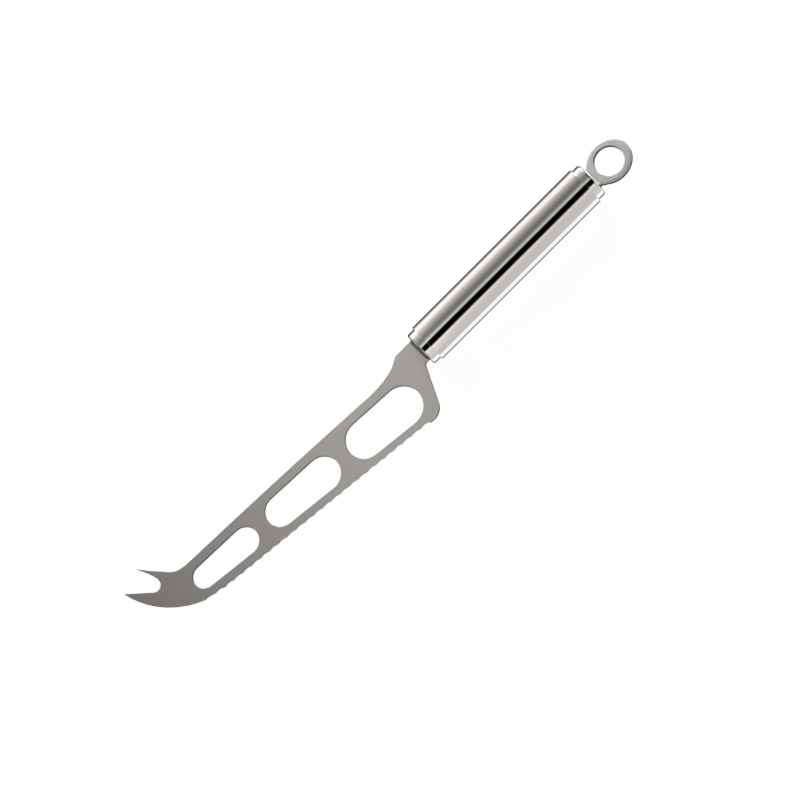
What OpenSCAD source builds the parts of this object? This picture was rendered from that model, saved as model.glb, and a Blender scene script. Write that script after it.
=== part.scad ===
// Cheese knife with a forked tip, three windows in its blade and a round steel handle.
// The origin is the middle of the hanging hole. X runs along the handle's axis, with the
// fork at -X. Y points to the blade's back and the cutting edge is at -Y. The blade and the
// ring lie in the XY plane. All sizes are in millimetres.

/* [Blade] */
// Length of the blade, from the front cap's face to the long tine's point
blade_l = 167.6; // [150:0.1:190]
// Thickness of the blade
blade_t = 1.8; // [1.4:0.1:2.2]
// Width of the neck where it meets the front cap
neck_w = 12; // [10.5:0.1:13]
// Length of the straight top of the neck
neck_l = 8.5; // [6:0.1:11]
// Distance from the front cap's face to the lowest point of the back
dip_x = 29.4; // [26:0.1:34]
// Height of the back's lowest point above the handle's axis
dip_y = 1.2; // [0:0.1:2.5]
// How far the back bulges above a straight line
back_bulge = 0.4; // [0:0.05:0.6]

/* [Fork] */
// Distance from the foot of the short tine's back to the long tine's point, along the handle
fork_l = 31.3; // [29:0.1:34]
// Height of the foot of the short tine's back
fork_root_y = 6; // [4.5:0.1:7]
// How far the short tine's point lies behind the long one's
tine_lag = 11.6; // [9:0.1:14]
// Height of the short tine's point
short_tine_y = 21; // [18:0.1:24]
// Height of the long tine's point
long_tine_y = 16.8; // [14:0.1:19]
// Height of the notch's floor
notch_y = 6.7; // [5.5:0.1:8]
// Distance from where the belly starts to rise to the long tine's point, along the handle
belly_l = 36.8; // [34:0.1:41]

/* [Heel] */
// Distance from the front cap's face to the heel's corner, before rounding
heel_x = 12.8; // [11:0.1:15]
// Depth of the heel's corner below the axis, before rounding
heel_drop = 27.85; // [26:0.05:30]
// Radius of the heel's corner
heel_r = 7; // [4:0.1:9]
// Distance from the front cap's face to the corner where the heel leaves the neck
choil_x = 2.8; // [2.7:0.1:4]
// Radius of that corner
choil_r = 2.2; // [1:0.1:2.3]
// Angle between the cutting edge and the handle's axis
edge_angle = 6.3; // [5.5:0.1:7]

/* [Serration] */
// Distance from the front cap's face to the first tooth
teeth_start_x = 19.6; // [18.5:0.1:24]
// Distance from the last tooth to the long tine's point, along the handle
teeth_end_gap = 24.2; // [22.5:0.1:29]
// Number of scallops between them
scallop_count = 25; // [18:1:32]
// Depth of each scallop, seen on the blade's front
scallop_depth = 0.45; // [0.25:0.05:0.6]
// How far outside the edge the last scallop ends, so that it fades out on the belly
run_out = 1.2; // [0:0.1:2]
// Angle of the ground bevel, which is on the blade's back face only
bevel_angle = 30; // [26:1:40]

/* [Windows] */
// Distance from the front cap's face to the nearest window
window_start_x = 13.8; // [12.5:0.1:16]
// Length of the window nearest the handle
heel_window_l = 39.8; // [34:0.1:42]
// Length of the middle window
middle_window_l = 39.7; // [34:0.1:42]
// Distance from the window nearest the fork to the long tine's point, along the handle
window_end_gap = 25.4; // [24.5:0.1:30]
// Width of the bridges between the windows
bridge_w = 6.8; // [5.5:0.1:8]
// Width of the web between the windows and the back
back_web = 4.2; // [3.6:0.1:5]
// Width of the web between the windows and the edge, at the handle end
heel_web = 4.1; // [3.6:0.1:5]
// Width of the web between the windows and the edge, at the fork end
tip_web = 5; // [4:0.1:5.5]

/* [Handle] */
// Outside diameter of the tube
tube_d = 19; // [18:0.1:22]
// Wall of the tube
tube_wall = 0.9; // [0.7:0.05:1.2]
// Length of the tube
tube_l = 97.5; // [80:0.5:120]
// How far each cap stands out of the tube
collar_l = 4.1; // [3.2:0.1:5]
// Radius of the cap's outer edge
cap_edge_r = 0.9; // [0.5:0.1:1.1]
// Depth of the front cap inside the tube
front_plug_l = 20; // [18:0.5:26]
// Depth of the rear cap inside the tube
rear_plug_l = 14; // [13:0.5:20]

/* [Tang and shank] */
// Length of the blade's tang, behind the front cap's face
tang_l = 20; // [16:0.5:22]
// Length of the ring's shank, inside the rear cap
shank_l = 15; // [13.5:0.5:16]
// Width of the tang and of the shank
tang_w = 9; // [7:0.1:9.5]
// Diameter of the cross pins
pin_d = 3; // [2:0.1:3.4]
// Distance from the front cap's face to the pin through the tang
tang_pin_x = 12.5; // [11.5:0.1:13.5]
// Distance from the rear cap's face to the pin through the shank
shank_pin_x = 11; // [10.5:0.1:11.2]

/* [Hanging ring] */
// Distance from the rear cap's face to the middle of the hole
hang_reach = 10.9; // [10.2:0.1:12]
// Diameter of the hanging hole
hole_d = 13.8; // [10:0.1:14.5]
// Half of the ring's length, from the hole's middle to its far end
ring_reach = 10.8; // [9.8:0.1:12]
// Width of the ring across the handle
ring_w = 19; // [17.5:0.1:20]
// Thickness of the ring
ring_t = 2.3; // [1.8:0.1:2.6]
// Width of the ring's neck where it meets the rear cap
ring_neck_w = 10.6; // [9.5:0.1:12]
// Chamfer round the hanging hole
hole_chamfer = 0.3; // [0.1:0.05:0.5]

/* [Joints between pieces] */
// Gap between a cap and the tube's bore
cap_fit = 0.03; // [0.02:0.01:0.08]
// Gap round the tang and the shank in their slots
slot_fit = 0.05; // [0.03:0.01:0.12]
// Gap round a pin in its holes
pin_fit = 0.03; // [0.02:0.01:0.08]
// How far a pin's end stays inside the cap's surface
pin_inset = 0.2; // [0.1:0.05:0.4]
// Leg of the weld beads, along the handle and on the faces of the neck
bead_leg = 1.2; // [0.8:0.1:1.4]
// Leg of the front bead on the sides of the blade's neck
front_side_leg = 0.4; // [0.3:0.05:0.8]
// Leg of the rear bead on the sides of the ring's neck
rear_side_leg = 1.2; // [0.6:0.1:1.4]
// Distance from the tube's end to a cap's groove
groove_inset = 1.5; // [1.2:0.1:1.9]
// Width of the groove
groove_w = 2.4; // [1.6:0.1:2.8]
// Depth of the groove
groove_depth = 0.8; // [0.5:0.1:1]
// Chamfer on a cap's inner end, on the tube's ends and on the pins
small_chamfer = 0.3; // [0.15:0.05:0.4]

/* [Hidden] */
$fn = 96;

// Steps on one curved stretch of an outline
curve_steps = 10;
// Steps on a half circle
arc_steps = 32;
// Overrun of every cut past the surface that it opens
overrun = 1;
// How far neighbouring scallops run into each other, so that no skin stays between them
scallop_lap = 0.05;
// Height of a weld bead's rim, and how far its top starts inside the neck
bead_rim = 0.1;

// Places along X, from the hanging hole towards the fork
rear_face_x = -hang_reach;
tube_rear_x = rear_face_x - collar_l;
tube_front_x = tube_rear_x - tube_l;
front_face_x = tube_front_x - collar_l;

// Diameters that follow from the tube
bore_d = tube_d - 2 * tube_wall;
cap_d = bore_d - 2 * cap_fit;
pin_hole_d = pin_d + 2 * pin_fit;
pin_l = cap_d - 2 * pin_inset;

// Distance from a cap's face to its groove
groove_x = collar_l + groove_inset;

// Outline of the blade, in places measured from the front cap's face towards the fork.
// Control points are shares of the stretch's run, and of its rise or drop.
shoulder_shares = [[0.08, 0], [0.12, 0.116], [0.167, 0.265], [0.31, 0.72], [0.6, 1], [1, 1]];
tine_shares = [[0.226, 0.011], [0.421, 0.052], [0.519, 0.216], [0.618, 0.381], [0.96, 0.823], [1, 1]];
notch_shares = [[-0.138, 0.742], [-0.31, 0.484], [-0.31, 0.247], [-0.31, 0.087], [-0.172, 0],
    [-0.017, 0.007], [0.069, 0.014], [0.121, 0.045], [0.172, 0.087]];
belly_shares = [0.44, 0.872, 0.392];
// Share of the ring's half width at which its oval runs out into the neck
ring_leave_share = 0.76;

// Places along the blade that are set out from the long tine's point
short_tine_x = blade_l - tine_lag;
fork_root_x = blade_l - fork_l;
belly_x = blade_l - belly_l;
teeth_end_x = blade_l - teeth_end_gap;
tip_window_l = blade_l - window_end_gap - window_start_x - heel_window_l - middle_window_l - 2 * bridge_w;

function between(a, b, u) = a + (b - a) * u;

function bezier(p, steps) = [for (i = [0:steps - 1]) bezier_point(p, i / steps)];

function bezier_point(p, u) =
    pow(1 - u, 3) * p[0] + 3 * u * pow(1 - u, 2) * p[1] + 3 * u * u * (1 - u) * p[2] + pow(u, 3) * p[3];

// One curve after another, with every third point of p on the line
function curves(p, steps) =
    [for (k = [0:3:len(p) - 4]) each bezier([p[k], p[k + 1], p[k + 2], p[k + 3]], steps)];

// The same through control points given as shares of the box from a to b
function chain(a, b, shares, steps) =
    curves(concat([a], [for (s = shares) [between(a[0], b[0], s[0]), between(a[1], b[1], s[1])]]), steps);

// Points of an arc round the corner c, between its neighbours a and b
function rounded(a, c, b, r, steps) =
    let (
        u = (a - c) / norm(a - c),
        v = (b - c) / norm(b - c),
        half = acos(u * v) / 2,
        reach = r / tan(half),
        centre = c + (u + v) / norm(u + v) * r / sin(half),
        p = c + u * reach - centre,
        q = c + v * reach - centre,
        from = atan2(p[1], p[0]),
        turn = atan2(p[0] * q[1] - p[1] * q[0], p * q)
    )
    [for (i = [0:steps]) centre + r * [cos(from + turn * i / steps), sin(from + turn * i / steps)]];

// Height of the back at x, between its lowest point and the fork
function back_y(x) =
    let (u = (x - dip_x) / (fork_root_x - dip_x))
    between(dip_y, fork_root_y, u) + 4 * back_bulge * u * (1 - u);

// Height of the straight edge at x, before the scallops
function edge_y(x) = -heel_drop + tan(edge_angle) * (x - heel_x);

belly = [[belly_x, edge_y(belly_x)],
    [between(belly_x, blade_l, belly_shares[0]), edge_y(between(belly_x, blade_l, belly_shares[0]))],
    [between(belly_x, blade_l, belly_shares[1]), between(edge_y(belly_x), long_tine_y, belly_shares[2])],
    [blade_l, long_tine_y]];

// Share of the way along the curve at which it reaches x, found by halving
function share_at(curve, x, low, high, left) =
    let (middle = (low + high) / 2)
    left == 0 ? middle
    : bezier_point(curve, middle)[0] < x ? share_at(curve, x, middle, high, left - 1)
    : share_at(curve, x, low, middle, left - 1);

// Point of the cutting edge at x
function edge_point(x) =
    x <= belly_x ? [x, edge_y(x)] : bezier_point(belly, share_at(belly, x, 0, 1, 24));

function blade_outline() =
    let (
        short_point = [short_tine_x, short_tine_y],
        long_point = [blade_l, long_tine_y],
        dip = [dip_x, dip_y],
        root = [fork_root_x, fork_root_y],
        heel = [heel_x, -heel_drop],
        choil = [choil_x, -neck_w / 2]
    )
    concat(
        [[0, neck_w / 2]],
        chain([neck_l, neck_w / 2], dip, shoulder_shares, curve_steps),
        [for (i = [0:arc_steps - 1])
            let (x = between(dip_x, fork_root_x, i / arc_steps)) [x, back_y(x)]],
        chain(root, short_point, tine_shares, curve_steps),
        [short_point],
        notch_curve(),
        [long_point],
        [for (i = [1:2 * arc_steps]) bezier_point(belly, 1 - i / (2 * arc_steps))],
        rounded([belly_x, edge_y(belly_x)], heel, choil, heel_r, arc_steps),
        rounded(heel, choil, [0, -neck_w / 2], choil_r, curve_steps),
        [[0, -neck_w / 2], [0, -tang_w / 2], [-tang_l, -tang_w / 2], [-tang_l, tang_w / 2],
            [0, tang_w / 2]]
    );

// The notch between the tines, from just past the short point to the long tine's straight side
function notch_curve() =
    let (
        p = concat([[short_tine_x, short_tine_y]],
            [for (s = notch_shares)
                [short_tine_x + s[0] * tine_lag, between(notch_y, short_tine_y, s[1])]]),
        line = curves(p, curve_steps)
    )
    concat([for (i = [1:len(line) - 1]) line[i]], [p[len(p) - 1]]);

// Width of the web between a window and the edge at x
function edge_web(x) =
    between(heel_web, tip_web, (x - window_start_x) / (fork_root_x - window_start_x));

function window_top(x) = back_y(x) - back_web;
function window_low(x) = edge_y(x) + edge_web(x);
function window_r(x) = (window_top(x) - window_low(x)) / 2;

// The round end of a window whose tip is at x, as its centre and radius.
// side is 1 where the window lies towards the fork from that tip, and -1 the other way.
function window_end(x, side) =
    let (
        guess = x + side * window_r(x),
        r = window_r(guess),
        c = x + side * window_r(x + side * r)
    )
    [[c, (window_top(c) + window_low(c)) / 2], window_r(x + side * r)];

// A slot round two circles of different size, drawn with their common tangents
function slot_points(a, b) =
    let (
        run = b[0] - a[0],
        along = atan2(run[1], run[0]),
        lean = acos((a[1] - b[1]) / norm(run))
    )
    concat(
        [for (i = [0:arc_steps])
            let (w = along + between(lean, 360 - lean, i / arc_steps)) a[0] + a[1] * [cos(w), sin(w)]],
        [for (i = [0:arc_steps])
            let (w = along + between(-lean, lean, i / arc_steps)) b[0] + b[1] * [cos(w), sin(w)]]
    );

window_ls = [heel_window_l, middle_window_l, tip_window_l];

// Distance from the front cap's face to the near end of window i
function window_x(i) = i == 0 ? window_start_x : window_x(i - 1) + window_ls[i - 1] + bridge_w;

module blade_window(i) {
    translate([0, 0, -blade_t / 2 - overrun])
        linear_extrude(blade_t + 2 * overrun)
            polygon(slot_points(window_end(window_x(i), 1), window_end(window_x(i) + window_ls[i], -1)));
}

// Point of tooth i, counted from the heel
function tooth_point(i) =
    edge_point(between(teeth_start_x, teeth_end_x, i / scallop_count))
    - [0, i == scallop_count ? run_out : 0];

// One scallop, hollow-ground from the blade's back face between two neighbouring teeth
module scallop(i) {
    a = tooth_point(i);
    b = tooth_point(i + 1);
    half = norm(b - a) / 2;
    sag = scallop_depth * sin(bevel_angle);
    r = (half * half + sag * sag) / (2 * sag);
    reach = blade_t / sin(bevel_angle) + overrun;
    lean = atan2(b[1] - a[1], b[0] - a[0]);
    translate([(a[0] + b[0]) / 2, (a[1] + b[1]) / 2, blade_t / 2])
        rotate([0, 0, lean])
            translate([0, scallop_depth, 0])
                rotate([90 - bevel_angle, 0, 0])
                    intersection() {
                        translate([0, -r, -reach])
                            cylinder(r = r, h = reach + overrun);
                        translate([-half - scallop_lap, -r, -reach])
                            cube([2 * (half + scallop_lap), r + overrun, reach + overrun]);
                    }
}

module blade() {
    color("silver")
        translate([front_face_x, 0, 0])
            mirror([1, 0, 0])
                difference() {
                    translate([0, 0, -blade_t / 2])
                        linear_extrude(blade_t)
                            polygon(blade_outline());
                    for (i = [0:len(window_ls) - 1])
                        blade_window(i);
                    for (i = [0:scallop_count - 1])
                        scallop(i);
                    translate([-tang_pin_x, 0, 0])
                        cylinder(d = pin_hole_d, h = blade_t + 2 * overrun, center = true);
                }
}

// Profile of a cap, from its face at 0 to its inner end at length, with the bonding groove
function cap_profile(length) = concat(
    [[0, 0]],
    [for (i = [0:curve_steps])
        let (w = 90 * i / curve_steps)
            [cap_d / 2 - cap_edge_r + cap_edge_r * sin(w), cap_edge_r - cap_edge_r * cos(w)]],
    [[cap_d / 2, groove_x], [cap_d / 2 - groove_depth, groove_x],
        [cap_d / 2 - groove_depth, groove_x + groove_w], [cap_d / 2, groove_x + groove_w],
        [cap_d / 2, length - small_chamfer], [cap_d / 2 - small_chamfer, length], [0, length]]
);

// A cap standing on its face, with the slot for a flat shank and the hole for its pin
module cap(length, flat_t, pin_x) {
    difference() {
        rotate_extrude()
            polygon(cap_profile(length));
        translate([0, 0, length / 2])
            cube([flat_t + 2 * slot_fit, tang_w + 2 * slot_fit, length + 2 * overrun], center = true);
        translate([0, 0, pin_x])
            rotate([0, 90, 0])
                cylinder(d = pin_hole_d, h = cap_d + 2 * overrun, center = true);
    }
}

// Puts what stands on a cap's face into place: from the front face backwards
module at_front() {
    translate([front_face_x, 0, 0])
        rotate([0, 90, 0])
            children();
}

// The same from the rear face forwards
module at_rear() {
    translate([rear_face_x, 0, 0])
        rotate([0, -90, 0])
            children();
}

module front_cap() {
    color("gainsboro")
        at_front()
            cap(collar_l + front_plug_l, blade_t, tang_pin_x);
}

module rear_cap() {
    color("gainsboro")
        at_rear()
            cap(collar_l + rear_plug_l, ring_t, shank_pin_x);
}

// A cross pin with broken ends, held in by the tube's wall
module pin() {
    translate([0, 0, -pin_l / 2])
        rotate_extrude()
            polygon([[0, 0], [pin_d / 2 - small_chamfer, 0], [pin_d / 2, small_chamfer],
                [pin_d / 2, pin_l - small_chamfer], [pin_d / 2 - small_chamfer, pin_l], [0, pin_l]]);
}

module tang_pin() {
    color("darkgray")
        translate([front_face_x + tang_pin_x, 0, 0])
            pin();
}

module shank_pin() {
    color("darkgray")
        translate([rear_face_x - shank_pin_x, 0, 0])
            pin();
}

// A ring of cement in a cap's groove, which bonds and seals the cap in the tube
module bond_ring() {
    translate([0, 0, groove_x])
        difference() {
            cylinder(d = bore_d, h = groove_w);
            translate([0, 0, -overrun])
                cylinder(d = cap_d - 2 * groove_depth, h = groove_w + 2 * overrun);
        }
}

module front_bond_ring() {
    color("dimgray")
        at_front()
            bond_ring();
}

module rear_bond_ring() {
    color("dimgray")
        at_rear()
            bond_ring();
}

// A fillet weld all round a flat neck, standing on a cap's face
module bead(neck, flat_t, side_leg) {
    foot_d = flat_t + 2 * bead_leg;
    difference() {
        hull() {
            for (side = [-1, 1])
                translate([0, side * (neck / 2 + side_leg - foot_d / 2), -bead_rim])
                    cylinder(d = foot_d, h = bead_rim, $fn = 32);
            translate([0, 0, bead_rim / 2 - bead_leg])
                cube([flat_t - 2 * bead_rim, neck - 2 * bead_rim, bead_rim], center = true);
        }
        translate([0, 0, -bead_leg / 2])
            cube([flat_t, neck, bead_leg + 2 * overrun], center = true);
    }
}

module front_weld_bead() {
    color("darkgray")
        at_front()
            bead(neck_w, blade_t, front_side_leg);
}

module rear_weld_bead() {
    color("darkgray")
        at_rear()
            bead(ring_neck_w, ring_t, rear_side_leg);
}

module handle_tube() {
    color("silver")
        translate([tube_front_x, 0, 0])
            rotate([0, 90, 0])
                rotate_extrude()
                    polygon([[bore_d / 2, 0], [tube_d / 2 - small_chamfer, 0],
                        [tube_d / 2, small_chamfer], [tube_d / 2, tube_l - small_chamfer],
                        [tube_d / 2 - small_chamfer, tube_l], [bore_d / 2, tube_l]]);
}

// Outline of the ring and its shank. Its oval is longer along the handle than across it.
function ring_outline() =
    let (
        leave = 180 - asin(ring_leave_share),
        neck_x = rear_face_x + bead_leg
    )
    concat(
        [for (i = [-2 * arc_steps:2 * arc_steps])
            let (w = leave * i / (2 * arc_steps)) [ring_reach * cos(w), ring_w / 2 * sin(w)]],
        [[neck_x, ring_neck_w / 2], [rear_face_x, ring_neck_w / 2], [rear_face_x, tang_w / 2],
            [rear_face_x - shank_l, tang_w / 2], [rear_face_x - shank_l, -tang_w / 2],
            [rear_face_x, -tang_w / 2], [rear_face_x, -ring_neck_w / 2],
            [neck_x, -ring_neck_w / 2]]
    );

module hanging_ring() {
    color("silver")
        difference() {
            translate([0, 0, -ring_t / 2])
                linear_extrude(ring_t)
                    polygon(ring_outline());
            cylinder(d = hole_d, h = ring_t + 2 * overrun, center = true);
            for (side = [0, 1])
                mirror([0, 0, side])
                    translate([0, 0, ring_t / 2 - hole_chamfer])
                        cylinder(d1 = hole_d, d2 = hole_d + 2 * (hole_chamfer + overrun),
                            h = hole_chamfer + overrun);
            translate([rear_face_x - shank_pin_x, 0, 0])
                cylinder(d = pin_hole_d, h = ring_t + 2 * overrun, center = true);
        }
}

blade();
front_cap();
tang_pin();
front_weld_bead();
front_bond_ring();
handle_tube();
rear_bond_ring();
rear_cap();
shank_pin();
rear_weld_bead();
hanging_ring();
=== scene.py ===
"""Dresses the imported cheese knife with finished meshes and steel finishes, and lights it.

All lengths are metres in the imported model's frame. The origin is the middle of the hanging
hole, +X runs along the handle away from the fork, +Y points to the blade's back, and +Z out
of the blade's plain face.
"""

import logging
import math
from collections.abc import Callable
from dataclasses import dataclass, field
from enum import Enum

import bmesh
import bpy
from mathutils import Matrix, Vector


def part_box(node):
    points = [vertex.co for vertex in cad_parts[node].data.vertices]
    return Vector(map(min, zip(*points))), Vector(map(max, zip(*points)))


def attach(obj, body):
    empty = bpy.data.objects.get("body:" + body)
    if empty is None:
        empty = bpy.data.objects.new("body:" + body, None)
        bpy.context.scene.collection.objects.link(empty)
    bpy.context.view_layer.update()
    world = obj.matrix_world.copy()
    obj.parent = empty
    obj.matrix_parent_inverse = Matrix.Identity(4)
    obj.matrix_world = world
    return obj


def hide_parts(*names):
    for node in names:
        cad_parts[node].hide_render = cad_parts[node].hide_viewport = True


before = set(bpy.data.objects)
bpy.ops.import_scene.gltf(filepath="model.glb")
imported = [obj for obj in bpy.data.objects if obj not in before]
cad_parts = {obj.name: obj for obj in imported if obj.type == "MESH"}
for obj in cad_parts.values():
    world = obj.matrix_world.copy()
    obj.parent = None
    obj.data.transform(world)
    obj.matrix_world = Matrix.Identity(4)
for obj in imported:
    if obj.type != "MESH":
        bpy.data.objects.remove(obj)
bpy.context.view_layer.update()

log = logging.getLogger("cheese_knife")

Piece = bpy.types.Object
Material = bpy.types.Material
Tree = bpy.types.NodeTree
Socket = bpy.types.NodeSocket
Point = Vector | tuple[float, float]
Pairs = tuple[tuple[float, float], ...]

MM = 0.001
QUARTER = math.pi / 2
ROOT_BODY = "root"
SMOOTH_ANGLE = math.radians(32)
# Faces that lean less than this against each other are one flat face
LEVEL_ANGLE = math.radians(0.02)
# Faces that rise less than this count as level
LEVEL_RISE = math.cos(math.radians(2))
# Faces steeper than this are walls of a sheet, left as they were cut, and their finish is painted darker as
# shade
WALL_RISE = math.cos(math.radians(70))
# Least divisor of a rim corner's move, which keeps a sharp corner from running far in
MITRE_LIMIT = 0.4
# Where a rim turns back by more than this, it has a sharp point
SHARP_TURN = math.cos(math.radians(120))
# Distance from a sharp point over which the rim's rounding dies away
POINT_REACH = 4.0 * MM
# Overrun of every cutter past the surface that it opens
OVERRUN = 1.0 * MM
# Two points closer than this are the same point
SAME = 0.002 * MM
# Points on each curved stretch of a sheet's outline
OUTLINE_STEPS = 16
# Radius of the cross pins' holes
PIN_HOLE_R = 1.53 * MM
# The handles of a cubic stretch stand out this much further than its middle
HANDLE_PULL = 4 / 3
# Range in which the sum of two noises usually lies
NOISE_SUM = (0.6, 1.4)


class Slot(Enum):
    """Material slots of the record named for the new pieces, which the script doesn't give them."""

    BLADE = "blade_steel"
    CAP = "cap_steel"
    TUBE = "tube_steel"
    RING = "ring_steel"
    WELD = "weld_steel"


class Grain(Enum):
    """Which way the fine lines of a ground or turned surface run."""

    ALONG = "along the handle"
    ROUND = "round the handle's axis"
    EVEN = "no direction"


# Shapes: outlines from cubic stretches, made with Blender's operators


def between(a: float, b: float, share: float) -> float:
    """Returns the value at a share of the way from a to b."""
    return a + (b - a) * share


@dataclass(frozen=True)
class Stretch:
    """One cubic stretch of a flat outline."""

    start: Vector
    leave: Vector
    arrive: Vector
    end: Vector
    straight: bool = False

    def at(self, u: float) -> Vector:
        """Returns the point at a share u of the way."""
        v = 1 - u
        return v * v * (v * self.start + 3 * u * self.leave) + u * u * (3 * v * self.arrive + u * self.end)


def line(start: Point, end: Point) -> Stretch:
    """Returns a straight stretch from start to end."""
    a, b = Vector(start), Vector(end)
    return Stretch(a, a.lerp(b, 1 / 3), a.lerp(b, 2 / 3), b, straight=True)


def oval(centre: Vector, radii: Vector, begin: float, finish: float, parts: int) -> list[Stretch]:
    """Cuts an arc of an upright oval into cubic stretches.

    Args:
        centre: Middle of the oval.
        radii: Its half width and half height.
        begin: Angle in radians at which the arc begins.
        finish: Angle at which it ends, which may lie below begin.
        parts: Number of stretches.

    Returns:
        The stretches in order.
    """
    step = (finish - begin) / parts
    pull = HANDLE_PULL * math.tan(step / 4)
    turns = [begin + k * step for k in range(parts + 1)]
    points = [centre + Vector((radii.x * math.cos(w), radii.y * math.sin(w))) for w in turns]
    pulls = [pull * Vector((-radii.x * math.sin(w), radii.y * math.cos(w))) for w in turns]
    ends = list(zip(points, pulls))
    return [Stretch(a, a + leave, b - arrive, b) for (a, leave), (b, arrive) in zip(ends, ends[1:])]


def rounded(before: Vector, corner: Vector, after: Vector, radius: float) -> Stretch:
    """Rounds a corner.

    Args:
        before: A point on the side that leads to the corner.
        corner: The sharp corner.
        after: A point on the side that leaves it.
        radius: Radius of the rounding.

    Returns:
        One stretch for the arc.
    """
    u = (before - corner).normalized()
    v = (after - corner).normalized()
    half = u.angle(v) / 2
    reach = radius / math.tan(half)
    pull = HANDLE_PULL * math.tan((math.pi - 2 * half) / 4) * radius
    start = corner + u * reach
    end = corner + v * reach
    return Stretch(start, start - u * pull, end - v * pull, end)


def share_chain(start: Vector, end: Vector, shares: Pairs) -> list[Stretch]:
    """Chains cubic stretches through points given as shares of the box from start to end.

    Args:
        start: First point.
        end: The corner of the box across from it.
        shares: Handles and points, three for each stretch.

    Returns:
        The stretches in order.
    """
    points = [start]
    points += [Vector((between(start.x, end.x, sx), between(start.y, end.y, sy))) for sx, sy in shares]
    return [Stretch(*points[k:k + 4]) for k in range(0, len(points) - 1, 3)]


def joined(stretches: list[Stretch]) -> list[Stretch]:
    """Closes the gaps between stretches, and the last gap back to the first, with straight ones.

    Args:
        stretches: Stretches in order.

    Returns:
        A closed outline.
    """
    loop: list[Stretch] = []
    for stretch, following in zip(stretches, [*stretches[1:], stretches[0]]):
        loop.append(stretch)
        if (following.start - stretch.end).length > SAME:
            loop.append(line(stretch.end, following.start))
    return loop


def select_only(piece: Piece) -> None:
    """Selects one object and makes it active.

    Args:
        piece: The object.
    """
    bpy.ops.object.select_all(action="DESELECT")
    piece.select_set(True)
    bpy.context.view_layer.objects.active = piece


def edit_mode(piece: Piece, kind: str = "VERT", action: str = "DESELECT") -> None:
    """Opens a piece in edit mode.

    Args:
        piece: The piece.
        kind: VERT, EDGE or FACE, what is to be selected.
        action: SELECT or DESELECT, what is done to all of it.
    """
    select_only(piece)
    bpy.ops.object.mode_set(mode="EDIT")
    bpy.ops.mesh.select_mode(type=kind)
    bpy.ops.mesh.select_all(action=action)


def object_mode() -> None:
    """Leaves edit mode."""
    bpy.ops.object.mode_set(mode="OBJECT")


def extrude(move: Vector) -> None:
    """Extrudes what is selected in edit mode."""
    bpy.ops.mesh.extrude_region_move(TRANSFORM_OT_translate={"value": move})


def pick_faces(piece: Piece, test: Callable[[bmesh.types.BMFace], bool]) -> None:
    """Opens a piece in edit mode with the faces selected that pass a test.

    Args:
        piece: The piece.
        test: Says whether a face is to be selected.
    """
    edit_mode(piece, "FACE")
    mesh = bmesh.from_edit_mesh(piece.data)
    for face in mesh.faces:
        face.select_set(test(face))
    bmesh.update_edit_mesh(piece.data)


def pick_open_edges(piece: Piece) -> None:
    """Selects, in edit mode, the edges at which the mesh is still open.

    Args:
        piece: The piece.
    """
    bpy.ops.mesh.select_mode(type="EDGE")
    bpy.ops.mesh.select_all(action="DESELECT")
    mesh = bmesh.from_edit_mesh(piece.data)
    for edge in mesh.edges:
        edge.select_set(edge.is_boundary)
    bmesh.update_edit_mesh(piece.data)


def place_in_mesh(piece: Piece) -> None:
    """Moves an object's place into its mesh, so that the object sits at the origin."""
    select_only(piece)
    bpy.ops.object.transform_apply(location=True, rotation=True, scale=True)


def add_mesh(name: str, adder: Callable, scale: tuple = (1, 1, 1), **settings) -> Piece:
    """Adds one of Blender's simple meshes, with its place and size in the mesh.

    Args:
        name: Name of the piece.
        adder: The operator that adds it.
        scale: Factors along X, Y and Z.
        settings: Values for the operator.

    Returns:
        The new piece.
    """
    bpy.ops.object.select_all(action="DESELECT")
    adder(**settings)
    piece = bpy.context.object
    piece.name = name
    piece.scale = scale
    place_in_mesh(piece)
    return piece


def close_up(piece: Piece) -> None:
    """Merges doubled points and turns all faces outwards.

    Args:
        piece: The piece.
    """
    edit_mode(piece, action="SELECT")
    bpy.ops.mesh.remove_doubles(threshold=SAME)
    bpy.ops.mesh.normals_make_consistent(inside=False)
    object_mode()


def apply_modifier(piece: Piece, kind: str, **settings) -> None:
    """Adds one modifier and applies it.

    Args:
        piece: The piece.
        kind: Blender's name of the modifier's type.
        settings: Values of its properties.
    """
    select_only(piece)
    modifier = piece.modifiers.new(kind.lower(), kind)
    for name, value in settings.items():
        setattr(modifier, name, value)
    bpy.ops.object.modifier_apply(modifier=modifier.name)


def cut(piece: Piece, *cutters: Piece) -> None:
    """Cuts solids out of a piece and closes it up.

    Args:
        piece: The piece.
        cutters: The solids, which are removed.
    """
    for cutter in cutters:
        apply_modifier(piece, "BOOLEAN", operation="DIFFERENCE", solver="MANIFOLD", object=cutter)
        bpy.data.objects.remove(cutter)
    close_up(piece)


def finish_turned(piece: Piece) -> None:
    """Smooths a turned piece and keeps its faces flat.

    Args:
        piece: The piece.
    """
    select_only(piece)
    bpy.ops.object.shade_smooth_by_angle(angle=SMOOTH_ANGLE)
    apply_modifier(piece, "WEIGHTED_NORMAL", keep_sharp=True, weight=100)


def merge_level(piece: Piece) -> None:
    """Merges neighbouring faces that lie in one plane.

    Args:
        piece: The piece.
    """
    edit_mode(piece, action="SELECT")
    bpy.ops.mesh.dissolve_limited(angle_limit=LEVEL_ANGLE, use_dissolve_boundaries=False)
    object_mode()


def finish_sheet(piece: Piece) -> None:
    """Merges a sheet's level faces, keeps them flat and smooths its rims and walls.

    Args:
        piece: The sheet.
    """
    merge_level(piece)
    select_only(piece)
    bpy.ops.object.shade_smooth_by_angle(angle=SMOOTH_ANGLE)
    pick_faces(piece, lambda face: abs(face.normal.z) > LEVEL_RISE)
    bpy.ops.mesh.faces_shade_flat()
    object_mode()


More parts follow.
